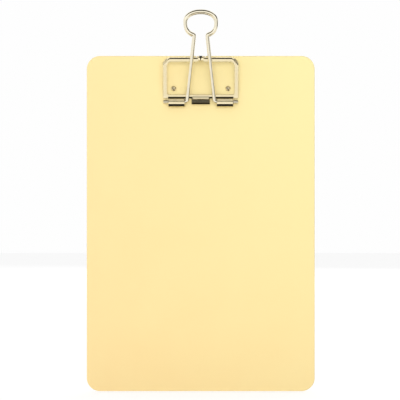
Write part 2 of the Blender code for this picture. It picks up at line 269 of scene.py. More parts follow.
# ================================================================================================
# materials
# ================================================================================================
class Nodes:
    def __init__(self, name):
        self.mat = bpy.data.materials.new(name)
        self.mat.use_nodes = True
        self.tree = self.mat.node_tree
        self.shader = self.tree.nodes["Principled BSDF"]
        coords = self.tree.nodes.new("ShaderNodeTexCoord")
        self.coords = coords.outputs["Object"]

    def link(self, a, b):
        self.tree.links.new(a, b)

    def mapped(self, scale):
        node = self.tree.nodes.new("ShaderNodeMapping")
        node.inputs["Scale"].default_value = scale
        self.link(self.coords, node.inputs["Vector"])
        return node.outputs["Vector"]

    def noise(self, scale, detail=3.0, stretch=(1, 1, 1), roughness=0.5):
        node = self.tree.nodes.new("ShaderNodeTexNoise")
        node.inputs["Scale"].default_value = scale
        node.inputs["Detail"].default_value = detail
        node.inputs["Roughness"].default_value = roughness
        self.link(self.mapped(stretch), node.inputs["Vector"])
        return node.outputs["Fac"]

    def ranged(self, value, low, high, from_low=0.3, from_high=0.7):
        node = self.tree.nodes.new("ShaderNodeMapRange")
        for key, v in (
            ("From Min", from_low), ("From Max", from_high), ("To Min", low), ("To Max", high),
        ):
            node.inputs[key].default_value = v
        self.link(value, node.inputs["Value"])
        return node.outputs["Result"]

    def mix(self, factor, a, b):
        node = self.tree.nodes.new("ShaderNodeMix")
        node.data_type = "RGBA"
        for key, v in ((6, a), (7, b)):
            if isinstance(v, tuple):
                node.inputs[key].default_value = (*v, 1.0)
            else:
                self.link(v, node.inputs[key])
        if isinstance(factor, float):
            node.inputs[0].default_value = factor
        else:
            self.link(factor, node.inputs[0])
        return node.outputs[2]

    def math(self, operation, a, b=0.0, clamp=False):
        node = self.tree.nodes.new("ShaderNodeMath")
        node.operation = operation
        node.use_clamp = clamp
        for i, v in enumerate((a, b)):
            if isinstance(v, (int, float)):
                node.inputs[i].default_value = v
            else:
                self.link(v, node.inputs[i])
        return node.outputs[0]

    def axis(self, name):
        node = self.tree.nodes.new("ShaderNodeSeparateXYZ")
        self.link(self.coords, node.inputs[0])
        return node.outputs[name]

    def band(self, axis, low, high, soft):
        """1 between low and high along an axis, fading over soft."""
        up = self.ranged(self.axis(axis), 0.0, 1.0, low - soft, low)
        return self.math("MULTIPLY", up, self.ranged(self.axis(axis), 1.0, 0.0, high, high + soft))

    def crevice(self, distance):
        """1 in the open, falling to 0 deep in a corner between pieces."""
        node = self.tree.nodes.new("ShaderNodeAmbientOcclusion")
        node.inputs["Distance"].default_value = distance
        node.samples = 8
        return node.outputs["AO"]

    def bump(self, height, strength, distance, before=None):
        node = self.tree.nodes.new("ShaderNodeBump")
        node.inputs["Strength"].default_value = strength
        node.inputs["Distance"].default_value = distance
        self.link(height, node.inputs["Height"])
        if before is not None:
            self.link(before, node.inputs["Normal"])
        self.link(node.outputs["Normal"], self.shader.inputs["Normal"])
        return node.outputs["Normal"]

    def set(self, key, value):
        if isinstance(value, (int, float)):
            self.shader.inputs[key].default_value = value
        elif isinstance(value, tuple):
            self.shader.inputs[key].default_value = (*value, 1.0)
        else:
            self.link(value, self.shader.inputs[key])


def board_material():
    n = Nodes("board_yellow")
    # painted light: the panel is painted lighter and yellower towards the top and the right, warmer and darker at the
    # lower left
    across = n.ranged(n.axis("X"), 0.0, 1.0, -0.078, 0.078)
    up = n.ranged(n.axis("Z"), 0.0, 1.0, 0.0, 0.228)
    left = n.mix(up, (0.875, 0.650, 0.300), (0.875, 0.700, 0.330))
    right = n.mix(up, (0.875, 0.676, 0.310), (0.875, 0.773, 0.364))
    painted_light_drift = n.mix(across, left, right)
    clouds = n.noise(26.0, 4.0)
    base = n.mix(n.ranged(clouds, 0.0, 0.35), painted_light_drift, (0.880, 0.725, 0.350))
    speck = n.noise(2600.0, 2.0)
    base = n.mix(n.ranged(speck, 0.0, 0.10, 0.55, 0.75), base, (0.78, 0.60, 0.27))
    n.set("Base Color", base)
    n.set("Metallic", 0.0)
    grain = n.noise(900.0, 3.0)
    n.set("Roughness", n.ranged(grain, 0.40, 0.52))
    n.set("IOR", 1.49)
    n.set("Specular IOR Level", 0.35)
    n.set("Coat Weight", 0.10)
    n.set("Coat Roughness", 0.25)
    n.set("Subsurface Weight", 0.0)
    # fine moulded texture over a very slight long ripple of the panel
    ripple = n.noise(9.0, 2.0)
    first = n.bump(ripple, 0.06, 0.004)
    n.bump(n.noise(1500.0, 4.0), 0.10, 0.00006, first)
    return n.mat


def gold_material(name, light, deep, rough, streaks, scale, coat, lip=False, worn=None, painted_rim_spots=None):
    """Plated steel: fine drawn streaks, faint cloudiness, and painted shade: a darker tone down in the creases."""
    n = Nodes(name)
    clouds = n.noise(220.0, 4.0)
    tone = n.mix(n.ranged(clouds, 0.0, 0.5), light, tuple(0.5 * (a + b) for a, b in zip(light, deep)))
    fine = n.noise(scale, 3.0, streaks)
    tone = n.mix(n.ranged(fine, 0.0, 0.22), tone, deep)
    # painted shade: ambient occlusion darkens the colour in creases and in corners between pieces
    painted_crease_shade = n.crevice(0.0016)
    tone = n.mix(n.ranged(painted_crease_shade, 0.85, 0.0, 0.10, 0.75), tone, tuple(0.35 * c for c in deep))
    if lip:
        # painted shade and painted dark reflection: the lip's narrow face beside the rolls and over the middle one,
        # the pit over the strap with its stem, and the middle roll's underside
        side = n.math("ABSOLUTE", n.axis("X"))
        face = n.math("MULTIPLY", n.band("Z", 0.19857, 0.20008, 0.0002), n.band("Y", -0.0024, -0.0010, 0.0003))
        off = n.math("MULTIPLY", n.ranged(side, 0.0, 1.0, 0.0052, 0.0058), n.ranged(side, 1.0, 0.0, 0.0219, 0.0226))
        face = n.math("MULTIPLY", face, off)
        wedge = n.math("SUBTRACT", n.math("MULTIPLY", n.math("SUBTRACT", n.axis("Z"), 0.2246), 0.42), side)
        pit = n.math("MULTIPLY", n.ranged(wedge, 0.0, 1.0, -0.00005, 0.0002), n.ranged(n.axis("Y"), 1.0, 0.0, -0.0080, -0.0075))
        under = n.math("MULTIPLY", n.band("Z", 0.1946, 0.1957, 0.0003), n.ranged(side, 1.0, 0.0, 0.0064, 0.0066))
        under = n.math("MULTIPLY", under, n.ranged(n.axis("Y"), 1.0, 0.0, -0.0045, -0.0040))
        deep_in = n.ranged(n.axis("Y"), 1.0, 0.0, -0.0077, -0.0073)
        stem = n.math("MULTIPLY", n.band("X", -0.00044, 0.00014, 0.0001), n.ranged(n.axis("Z"), 0.0, 0.8, 0.2238, 0.2241))
        stem = n.math("MULTIPLY", stem, deep_in)
        tab = n.math("MULTIPLY", n.band("Z", 0.1994, 0.2006, 0.0003), n.ranged(side, 0.38, 0.0, 0.0054, 0.0058))
        painted_shade_mask = n.math("MAXIMUM", n.math("MAXIMUM", face, pit), n.math("MAXIMUM", under, n.math("MAXIMUM", stem, tab)))
        # painted shade: all of these places are painted near black
        tone = n.mix(painted_shade_mask, tone, (0.030, 0.023, 0.008))
    if painted_rim_spots:
        # painted shade: three dark spots painted in the front rim's dome
        across, up, size = painted_rim_spots
        side = n.math("SUBTRACT", n.math("ABSOLUTE", n.math("SUBTRACT", n.axis("X"), 0.00040)), across)
        side = n.math("MULTIPLY", side, n.math("SIGN", n.axis("X")))
        rise = n.math("SUBTRACT", n.axis("Z"), up)
        shade_spots = None
        for angle in (152, 28, 270):
            dx, dz = 0.00115 * math.cos(math.radians(angle)), 0.00115 * math.sin(math.radians(angle))
            gap = n.math("SQRT", n.math("ADD",
                n.math("POWER", n.math("SUBTRACT", side, dx), 2.0),
                n.math("POWER", n.math("SUBTRACT", rise, dz), 2.0)))
            shade_spot = n.ranged(gap, 1.0, 0.0, size, size + 0.00030)
            shade_spots = shade_spot if shade_spots is None else n.math("MAXIMUM", shade_spots, shade_spot)
        shade_spots = n.math("MULTIPLY", shade_spots, n.ranged(n.axis("Y"), 1.0, 0.0, -0.0014, -0.0012))
        tone = n.mix(n.math("MULTIPLY", shade_spots, 0.8), tone, (0.060, 0.045, 0.020))
    n.set("Base Color", tone)
    n.set("Metallic", 1.0)
    polish = n.math("ADD", n.ranged(fine, rough * 0.75, rough * 1.25), n.ranged(clouds, 0.0, 0.04))
    if worn:
        low, high, above, amount = worn
        rub = n.ranged(n.math("ABSOLUTE", n.axis("X")), 0.0, amount, low, high)
        rub = n.math("MULTIPLY", rub, n.ranged(n.axis("Z"), 0.0, 1.0, above, above + 0.002))
        polish = n.math("ADD", polish, rub)
    n.set("Roughness", polish)
    n.set("Coat Weight", coat)
    n.set("Coat Roughness", 0.08)
    first = n.bump(n.noise(60.0, 2.0), 0.05, 0.0006)
    n.bump(fine, 0.12, 0.00002, first)
    return n.mat


BOARD = board_material()
CLIP = gold_material(
    "clip_gold", (0.95, 0.84, 0.56), (0.82, 0.66, 0.36), 0.12, (0.15, 1, 1), 2400.0, 0.1, lip=True,
    worn=(0.0220, 0.0236, 0.2212, 0.45),
)
WIRE = gold_material("wire_gold", (0.94, 0.88, 0.71), (0.82, 0.71, 0.48), 0.07, (1, 1, 0.12), 2600.0, 0.1,
                     worn=(0.0212, 0.0220, 0.0, 0.45))
RIVET = gold_material("rivet_gold", (0.92, 0.82, 0.56), (0.62, 0.50, 0.28), 0.16, (1, 1, 1), 1800.0, 0.0,
                      painted_rim_spots=(RIVET_X * 0.001, 0.2056, 0.00030))


# ================================================================================================
# the board
# ================================================================================================
def make_board():
    w, edge, support = BOARD_W / 2, 0.6, 0.2
    corners = [
        (-w, -BOARD_H, 9.0), (w, -BOARD_H, 9.0), (w, 0, 9.0), (3.1, 0, 0.85),
        (3.1, -1.4, 0.5), (-3.1, -1.4, 0.5), (-3.1, 0, 0.85), (-w, 0, 9.0),
    ]
    outline = filleted(corners, 3.0)
    levels = [(edge + support, 0.0)]
    for k in range(7):
        a = math.radians(90 * k / 6)
        levels.append((edge * (1 - math.sin(a)), edge * (1 - math.cos(a))))
    levels += [(inset, BOARD_T - z) for inset, z in reversed(levels)]
    bm = bmesh.new()
    rings = []
    for inset, z in levels:
        ring = []
        for p, normal in outline:
            q = p - normal * inset
            ring.append(bm.verts.new(at(q.x, q.y, z)))
        rings.append(ring)
    count = len(outline)
    for a, b in zip(rings, rings[1:]):
        for i in range(count):
            j = (i + 1) % count
            bm.faces.new((a[i], a[j], b[j], b[i]))
    # rivet holes: a ring on each face and the wall between them
    walls = []
    steps = 24
    for side in (-1, 1):
        pair = []
        for z in (0.0, BOARD_T):
            pair.append([
                bm.verts.new(at(
                    side * RIVET_X + 1.2 * math.cos(2 * math.pi * i / steps),
                    RIVET_Y + 1.2 * math.sin(2 * math.pi * i / steps), z,
                ))
                for i in range(steps)
            ])
        walls.append(pair)
        for i in range(steps):
            j = (i + 1) % steps
            bm.faces.new((pair[0][i], pair[0][j], pair[1][j], pair[1][i]))
    def flat_of(v):
        return Vector((v.co.x / MM, v.co.z / MM))

    filled(bm, [rings[0], walls[0][0], walls[1][0]], flat_of)
    filled(bm, [rings[-1], walls[0][1], walls[1][1]], flat_of)
    board = new_object("board_panel", bm, BOARD, 50)
    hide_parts("board")
    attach(board, "board_and_back_leg")


# ================================================================================================
# the clip's front leg
# ================================================================================================
def frame_angle():
    cy, cz = FRAME_TOP - FOLD_R, FOLD_Z - FOLD_R
    angle = 0.3
    for _ in range(20):
        y, z = cy - FOLD_R * math.sin(angle), cz + FOLD_R * math.cos(angle)
        angle = math.atan2(z - (LIP_Z + SHEET / math.cos(angle)), y - LIP_BEND)
    return angle


ANGLE = frame_angle()


def front_runs():
    """The front leg's side view down to the lip's lower edge, and where its stations are."""
    r = FOLD_R - SHEET / 2
    cy, cz = FRAME_TOP - FOLD_R, FOLD_Z - FOLD_R
    ty, tz = cy - r * math.sin(ANGLE), cz + r * math.cos(ANGLE)
    mid_z = LIP_Z + SHEET / 2
    length = (tz - mid_z) / math.sin(ANGLE)
    corner_y = ty - length * math.cos(ANGLE)
    bend = 0.7
    trim = bend * math.tan(ANGLE / 2)
    runs = [
        ("line", FLANGE),
        ("left", r, 90 + math.degrees(ANGLE)),
        ("line", length - trim),
        ("right", bend, math.degrees(ANGLE)),
    ]
    start = (FRAME_TOP - SHEET / 2, cz - FLANGE, 90)
    lip_y = corner_y - trim
    return start, runs, lip_y


START, RUNS, LIP_START = front_runs()


def outer_barrel_runs():
    """Crimped round the wire: facets facing steeply down, ahead and overhead, with soft ridges."""
    return [
        ("line", LIP_START + 33.40),
        ("right", 1.2, 90), ("line", 1.02),
        ("right", 0.8, 57), ("line", 1.75),
        ("right", 0.2, 30), ("line", 1.2),
        ("right", 0.12, 47), ("line", 2.4),
        ("right", 0.5, 83), ("line", 0.25),
    ]


def centre_barrel_runs():
    """The middle roll is flattened: its front looks a little upwards."""
    return [
        ("line", LIP_START + 31.80),
        ("right", 1.0, 90), ("line", 1.5),
        ("right", 0.2, 115), ("line", 3.0),
        ("right", 0.4, 100), ("line", 0.4),
    ]


def grid_tab(flat, first, ends, s_values):
    """Strips of the sheet below the lip: first is the lip's row of vertices, ends(s) gives the
    x of both ends at s."""
    x0, x1 = first[0].co.x, first[-1].co.x
    rows = [first]
    made = []
    for s in s_values:
        a, b = ends(s)
        row = [
            flat.verts.new((a + (v.co.x - x0) / (x1 - x0) * (b - a), s, 0.0)) for v in first
        ]
        made += row
        rows.append(row)
    for upper, lower in zip(rows, rows[1:]):
        for i in range(len(upper) - 1):
            flat.faces.new((upper[i], lower[i], lower[i + 1], upper[i + 1]))
    return made


def dart(x, s):
    """Pressed gusset where the strap joins: a shallow funnel with a V-shaped pit down its middle."""
    t = (s - 0.75) / 3.2
    if not 0 < t < 1:
        return 0.0
    funnel = max(0.0, 1 - abs(x) / 2.9)
    pit = max(0.0, 1 - abs(x) / (1.25 * (1 - t) + 0.12))
    return -0.25 * math.sin(math.pi * t) * funnel * funnel - 0.95 * ease(t / 0.25) * (1 - t) ** 0.6 * pit


def make_front_leg():
    outer_bend = Bend(*START, RUNS + outer_barrel_runs())
    centre_bend = Bend(*START, RUNS + centre_barrel_runs())
    fold_start = FLANGE
    fold_end = FLANGE + (FOLD_R - SHEET / 2) * (math.pi / 2 + ANGLE)
    s_lip = outer_bend.s_at_y(LIP_LOW, fold_start, outer_bend.parts[4][0] + 1.5)

    def s_of(y):
        return outer_bend.s_at_y(y, fold_start, s_lip + 0.01)

    # right half, from the top's middle round to the lip's middle: outer and inner outlines
    pairs = []
    xs = [0, 0.12, 0.24, 0.36, 0.5, 0.65, 0.85, 1.1, 1.4, 1.7, 2.0, 2.4, 2.8, 3.3, 4, 5, 6.5, 8, 10,
          12, 14, 16, 18, 19.4, 20.2, 20.8, 21.3, 21.8, 22.2, 22.6, 23.0, 23.4, 23.8, 24.2, 24.5]
    for x in xs:
        inner = x if x < 8 else 8 + (x - 8) * (20.3 - 8) / (24.5 - 8)
        pairs.append(((x, 0.0), (inner, s_of(BAR_LOW))))
    corner = [
        (HALF - 1 + math.sin(math.pi * k / 10), 1 - math.cos(math.pi * k / 10)) for k in range(1, 6)
    ]
    corner += [(HALF, s) for s in (1.5, 2.0, 2.5, 3.0, 3.5, 4.0, 4.5)]
    for k, p in enumerate(corner):
        t = math.pi / 2 * k / (len(corner) - 1)
        pairs.append((p, (
            HALF - STRIP - 2.4 + 2.4 * math.sin(t), s_of(BAR_LOW - 2.4 + 2.4 * math.cos(t)),
        )))
    for k in range(1, 12):
        t = k / 12
        pairs.append((
            (HALF, s_of(-4.53 + (-28.0 + 4.53) * t)), (HALF - STRIP, s_of(-6.0 + (-25.4 + 6.0) * t)),
        ))
    for k in range(6):
        t = math.pi / 2 * k / 5
        pairs.append((
            (HALF - 0.9 + 0.9 * math.cos(t), s_of(-28.0 - 0.9 * math.sin(t))),
            (HALF - STRIP - 1 + math.cos(t), s_of(-25.4 - math.sin(t))),
        ))
    tab_out = len(pairs)
    below = [BARREL_OUT, 21.5, 19.5, 17, 14.5, 12.4, BARREL_IN, 9.8, 8.6, 7.3, CENTRE, 4.6, 3.0, 1.5, 0.0]
    for x in below:
        pairs.append(((x, s_lip), (x * (HALF - STRIP - 1.0) / 24.0, s_of(LIP_TOP))))
    # mirror: the left half runs back up from the lip's middle to the top's middle
    count = len(pairs)
    full = pairs + [((-o[0], o[1]), (-i[0], i[1])) for o, i in reversed(pairs[1:-1])]

    shares = [k / 26 for k in range(27)]
    flat = bmesh.new()
    rings = []
    for share in shares:
        ring = []
        for o, i in full:
            x, s = o[0] + (i[0] - o[0]) * share, o[1] + (i[1] - o[1]) * share
            # the frame's strips get no crown: it is left at zero
            crown = 0.0
            lift = crown + dart(x, s)
            ring.append(flat.verts.new((x, s, lift)))
        rings.append(ring)
    n = len(full)
    for a, b in zip(rings, rings[1:]):
        for i in range(n):
            j = (i + 1) % n
            flat.faces.new((a[i], b[i], b[j], a[j]))
    outer = rings[0]
    centre_verts = set()
    for sign in (1, -1):
        idx = list(range(tab_out, tab_out + 7))
        if sign < 0:
            idx = [(n - i) % n for i in idx]
        first = [outer[i] for i in idx]
        # a row of vertices at every ridge, so that each stays sharp
        steps = []
        s = s_lip
        for mark in [p[0] for p in outer_bend.parts if p[0] > s_lip + 0.2] + [outer_bend.end]:
            turning = outer_bend(mark - 0.01)[2] != outer_bend(s + 0.01)[2]
            parts = max(1, math.ceil((mark - s) / 0.26)) if turning else 1
            steps += [s + (mark - s) * (k + 1) / parts for k in range(parts)]
            s = mark

        def ends(s, sign=sign):
            t = (s - s_lip) / (outer_bend.end - s_lip)
            return sign * (BARREL_OUT - 0.25 * t), sign * (BARREL_IN - 0.22 + 0.5 * ease((t - 0.6) / 0.3))

        grid_tab(flat, first, ends, steps)
    idx = list(range(tab_out + 10, count))
    first = [outer[i] for i in idx] + [outer[(n - i) % n] for i in reversed(idx[:-1])]
    steps = []
    s = s_lip
    while s < centre_bend.end - 0.12:
        s += 0.24
        steps.append(min(s, centre_bend.end))

    def centre_ends(s):
        t = (s - s_lip) / (centre_bend.end - s_lip)
        return CENTRE - 0.1 * t, -(CENTRE - 0.1 * t)

    centre_verts |= set(grid_tab(flat, first, centre_ends, steps))

    def slide(x, s):
        """How far the fold runs down the slope: a little below the strap's end, more at the corners."""
        shoulder = ease((abs(x) - 1.2) / 1.2)
        d = max(abs(x) - (HALF - CORNER_R), 0.0)
        outer = CORNER_R - math.sqrt(CORNER_R**2 - min(d, CORNER_R - 0.4) ** 2)
        inner = 3.1 - math.sqrt(3.1**2 - min(d, 2.6) ** 2) + 1.15 * max(d - 2.6, 0.0)
        t = ease((s - fold_start) / (0.35 * (fold_end - fold_start)))
        return (shoulder + outer + (inner - outer) * t) * (1 - ease((s - fold_end) / 8.0))

    def place(v, x, s, h):
        y, z, ny, nz = (centre_bend if v in centre_verts else outer_bend)(s)
        down = slide(x, s)
        return at(
            x, y + ny * h - down * math.cos(ANGLE), z + nz * h - down * math.sin(ANGLE)
        )

    bm = thicken(flat, place, SHEET / 2, 0.13)
    flat.free()
    leg = new_object("clip_front_leg", bm, CLIP, 40)
    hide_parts("front_jaw")
    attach(leg, "front_leg")


# ================================================================================================
# the spine strap, in two halves that meet midway, and the back leg
# ================================================================================================
def strap(name, rows, centre, node=None):
    """rows of (half width, arc length): a strap of the sheet's thickness."""
    flat = bmesh.new()
    shares = [-1, -0.75, -0.5, -0.25, 0, 0.25, 0.5, 0.75, 1]
    lines = []
    for row in rows:
        line = []
        for share in shares:
            v = flat.verts.new((row[0] * share, row[1], 0.0))
            line.append(v)
        lines.append(line)
    for a, b in zip(lines, lines[1:]):
        for i in range(len(shares) - 1):
            flat.faces.new((a[i], b[i], b[i + 1], a[i + 1]))

    def place(v, x, s, h):
        y, z, ny, nz = centre(s)
        return at(x, y + ny * h, z + nz * h)

    bm = thicken(flat, place, SHEET / 2, 0.12)
    flat.free()
    ob = new_object(name, bm, CLIP, 40)
    settle(ob)
    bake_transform(ob)
    return ob


def make_strap():
    y = FRAME_TOP - SHEET / 2
    top = FOLD_Z - FOLD_R - FLANGE
    # from the front fold's flange straight back through the notch, then down the board's back
    line = Bend(y, top, -90, [("line", top + 0.05), ("right", 0.5, 90), ("line", 0.35)])
    half_way = 4.6

    def width(s):
        # narrows at the gusset in the front leg
        t = max(0.0, 1 - s / 2.2)
        return 2.75 - 1.3 * t * t

    upper, lower = [], []
    s = 0.02
    while s < half_way:
        upper.append((width(s), s))
        s += 0.2
    upper.append((width(half_way), half_way))
    s = half_way
    while s < line.end:
        lower.append((2.75, s))
        s += 0.15 if s > 8.6 else 0.3
    lower.append((2.75, line.end))
    one = strap("clip_spine_front_half", upper, line)
    two = strap("clip_spine_back_half", lower, line)
    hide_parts("clip_spine")
    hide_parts("clip_spine")


def make_back_leg():
    """Flat plate with a window, its foot rolled outwards into three barrels round the wire."""
    z = -0.3 - SHEET / 2
    top = -1.33
    line = Bend(top, z, 180, [("line", top - AXIS_Y), ("left", ROLL, 302)])
    s_lip = top - LIP_LOW
    flat = bmesh.new()

    def loop(corners, step=7.5):
        return [flat.verts.new((p.x, p.y, 0.0)) for p, _ in filleted(corners, step)]

    # the pattern's s runs down the plate, so outlines are drawn in (x, s)
    outline = []
    corner_r = 3.4
    for k in range(9):
        t = math.pi / 2 * k / 8
        outline.append((HALF - corner_r + corner_r * math.sin(t), corner_r - corner_r * math.cos(t)))
    outline += [(HALF, s) for s in (8, 13, 18, 23)]
    for k in range(6):
        t = math.pi / 2 * k / 5
        outline.append((HALF - 0.9 + 0.9 * math.cos(t), s_lip - 0.9 + 0.9 * math.sin(t)))
    tab_out = len(outline)
    below = [BARREL_OUT, 21.5, 19.5, 17, 14.5, 12.4, BARREL_IN, 9.8, 8.6, 7.3, CENTRE, 4.6, 3.0, 1.5, 0.0]
    outline += [(x, s_lip) for x in below]
    count = len(outline)
    whole = outline + [(-x, s) for x, s in reversed(outline[:-1])]
    # along the top the strap joins over its own width
    whole += [(-x, 0.0) for x in (16, 10, 5, 2.75)] + [(x, 0.0) for x in (0, 2.75, 5, 10, 16)]
    outer = [flat.verts.new((x, s, 0.0)) for x, s in whole]
    window = loop([(-11.5, 5.17, 2.0), (11.5, 5.17, 2.0), (11.5, 23.67, 2.0), (-11.5, 23.67, 2.0)])
    holes = []
    for side in (-1, 1):
        holes.append([
            flat.verts.new((
                side * RIVET_X + 1.2 * math.cos(2 * math.pi * i / 24),
                top - RIVET_Y + 1.2 * math.sin(2 * math.pi * i / 24), 0.0,
            ))
            for i in range(24)
        ])
    filled(flat, [outer, window] + holes, lambda v: v.co.xy)
    total = len(whole)
    left_of = {}
    for i, (x, s) in enumerate(whole):
        left_of[(round(x, 3), round(s, 3))] = i
    for sign in (1, -1):
        first = [outer[left_of[(round(sign * x, 3), round(s_lip, 3))]] for x in below[:7]]
        steps, s = [], s_lip
        while s < line.end - 0.12:
            s += 0.26 if s > top - AXIS_Y - 0.3 else 0.7
            steps.append(min(s, line.end))

        def ends(s, sign=sign):
            t = (s - s_lip) / (line.end - s_lip)
            return sign * (BARREL_OUT - 0.25 * t), sign * (BARREL_IN - 0.15 + 0.65 * t)

        grid_tab(flat, first, ends, steps)
    half = below[10:]
    first = [outer[left_of[(round(x, 3), round(s_lip, 3))]] for x in half + [-x for x in reversed(half[:-1])]]
    steps, s = [], s_lip
    while s < line.end - 0.12:
        s += 0.26 if s > top - AXIS_Y - 0.3 else 0.7
        steps.append(min(s, line.end))
    grid_tab(flat, first, lambda s: (CENTRE, -CENTRE), steps)

    def place(v, x, s, h):
        y, z_, ny, nz = line(s)
        return at(x, y + ny * h, z_ + nz * h)

    bm = thicken(flat, place, SHEET / 2, 0.13)
    flat.free()
    leg = new_object("clip_back_leg", bm, CLIP, 40)
    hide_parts("clip_back_plate")
    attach(leg, "board_and_back_leg")


# ================================================================================================
# handles
# ================================================================================================
LEG_X0, LEG_TAPER = 9.4, 0.1095
LOOP_A, LOOP_B_TOP, LOOP_B_LOW = 10.45, 7.0, 9.2
NECK_R, FOOT_R, FOOT_END = 1.6, 1.6, 25.4


def fillet(a, corner, b, radius, steps):
    ua, ub = (a - corner).normalized(), (b - corner).normalized()
    angle = ua.angle(ub)
    reach = radius / math.tan(angle / 2)
    centre = corner + (ua + ub).normalized() * (radius / math.sin(angle / 2))
    va, vb = corner + ua * reach - centre, corner + ub * reach - centre
    total = va.angle(vb)
    return [
        centre + (va * math.sin((1 - i / steps) * total) + vb * math.sin(i / steps * total)) / math.sin(total)
        for i in range(steps + 1)
    ]


def handle_line(loop_s):
    axis, foot = Vector((LEG_X0, 0.0)), Vector((FOOT_END - 0.35, 0.0))
    squareness = 2 / 2.6

    def lower(t):
        return Vector((
            LOOP_A * math.cos(t) ** squareness, loop_s - LOOP_B_LOW * math.sin(t) ** squareness
        ))

    t_end = math.radians(63.5)
    shoulder = lower(t_end)
    tangent = (lower(t_end + 0.01) - lower(t_end - 0.01)).normalized()
    k = (LEG_X0 - LEG_TAPER * shoulder.y - shoulder.x) / (tangent.x + LEG_TAPER * tangent.y)
    neck = shoulder + tangent * k
    path = [foot] + [foot + (axis - foot) * (i / 8) for i in range(1, 7)]
    path += fillet(foot, axis, neck, FOOT_R, 12)
    path += [axis + (neck - axis) * t for t in (0.12, 0.25, 0.4, 0.55, 0.7, 0.82, 0.9)]
    path += fillet(axis, neck, shoulder, min(NECK_R, 0.9 * (shoulder - neck).length), 12)
    path += [lower(t_end * (1 - i / 32)) for i in range(32)]
    path += [
        Vector((LOOP_A * math.cos(t) ** 0.93, loop_s + LOOP_B_TOP * math.sin(t) ** 0.93))
        for t in (math.pi / 2 * i / 30 for i in range(31))
    ]
    kept = [path[0]]
    for p in path[1:]:
        if (p - kept[-1]).length > 0.1:
            kept.append(p)
    kept[-1] = Vector((0.0, kept[-1].y))
    return kept + [Vector((-p.x, p.y)) for p in reversed(kept[:-1])]


def make_handle(name, node, body, axis_z, lean, loop_s):
    line = handle_line(loop_s)
    c, s_ = math.cos(math.radians(lean)), math.sin(math.radians(lean))
    sides = 28
    bm = bmesh.new()
    rings = []
    ends = [(-0.35, 0.72), (-0.30, 0.86), (-0.20, 0.95), (-0.09, 0.99)]

    def ring(p, normal, wide, r):
        out = []
        for j in range(sides):
            a = 2 * math.pi * j / sides
            across = r * math.cos(a) * wide
            up = r * math.sin(a)
            x, q = p.x + normal.x * across, p.y + normal.y * across
            # the handle's plane leans out from the board about the barrel axis
            out.append(bm.verts.new(at(x, AXIS_Y + q * c - up * s_, axis_z + q * s_ + up * c)))
        return out

    for i, p in enumerate(line):
        before, after = line[max(i - 1, 0)], line[min(i + 1, len(line) - 1)]
        tangent = (after - before).normalized()
        normal = Vector((-tangent.y, tangent.x))
        if 0 < i < len(line) - 1:
            turn = (p - before).normalized().angle((after - p).normalized())
            rings.append(ring(p, normal, 1 / math.cos(turn / 2), WIRE_R))
        elif i == 0:
            rings += [ring(p + tangent * d, normal, 1.0, WIRE_R * k) for d, k in ends]
            rings.append(ring(p, normal, 1.0, WIRE_R))
        else:
            rings.append(ring(p, normal, 1.0, WIRE_R))
            rings += [ring(p - tangent * d, normal, 1.0, WIRE_R * k) for d, k in reversed(ends)]
    for a, b in zip(rings, rings[1:]):
        for j in range(sides):
            bm.faces.new((a[j], a[(j + 1) % sides], b[(j + 1) % sides], b[j]))
    bm.faces.new(rings[0])
    bm.faces.new(rings[-1])
    ob = new_object(name, bm, WIRE, 45, weighted=False)
    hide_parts(node)
    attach(ob, body)


# ================================================================================================
# rivets
# ================================================================================================
def make_rivet(name, node, x):
    """Tubular rivet: domed rim with a dished middle in front, clinched rim behind."""
    head, back = 2.8, -1.1
    profile = [(0.0, head + 0.30), (0.25, head + 0.31), (0.48, head + 0.37), (0.66, head + 0.52),
               (0.80, head + 0.70), (0.95, head + 0.81), (1.10, head + 0.85), (1.28, head + 0.82),
               (1.48, head + 0.70), (1.64, head + 0.50), (1.75, head + 0.27), (1.80, head + 0.10),
               (1.80, head + 0.03), (1.77, head), (0.90, head), (0.90, back), (1.67, back),
               (1.70, back - 0.04), (1.69, back - 0.2), (1.62, back - 0.38), (1.48, back - 0.52),
               (1.28, back - 0.59), (1.05, back - 0.60), (0.82, back - 0.55), (0.66, back - 0.42),
               (0.54, back - 0.26), (0.3, back - 0.21), (0.0, back - 0.20)]
    steps = 48
    bm = bmesh.new()
    rings = []
    for r, z in profile:
        if r == 0:
            rings.append([bm.verts.new(at(x, RIVET_Y, z))])
        else:
            rings.append([
                bm.verts.new(at(x + r * math.cos(2 * math.pi * i / steps),
                                RIVET_Y + r * math.sin(2 * math.pi * i / steps), z))
                for i in range(steps)
            ])
    for a, b in zip(rings, rings[1:]):
        for i in range(steps):
            j = (i + 1) % steps
            if len(a) == 1:
                bm.faces.new((a[0], b[i], b[j]))
            elif len(b) == 1:
                bm.faces.new((a[i], a[j], b[0]))
            else:
                bm.faces.new((a[i], a[j], b[j], b[i]))
    ob = new_object(name, bm, RIVET, 50, weighted=False)
    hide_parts(node)
    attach(ob, "board_and_back_leg")


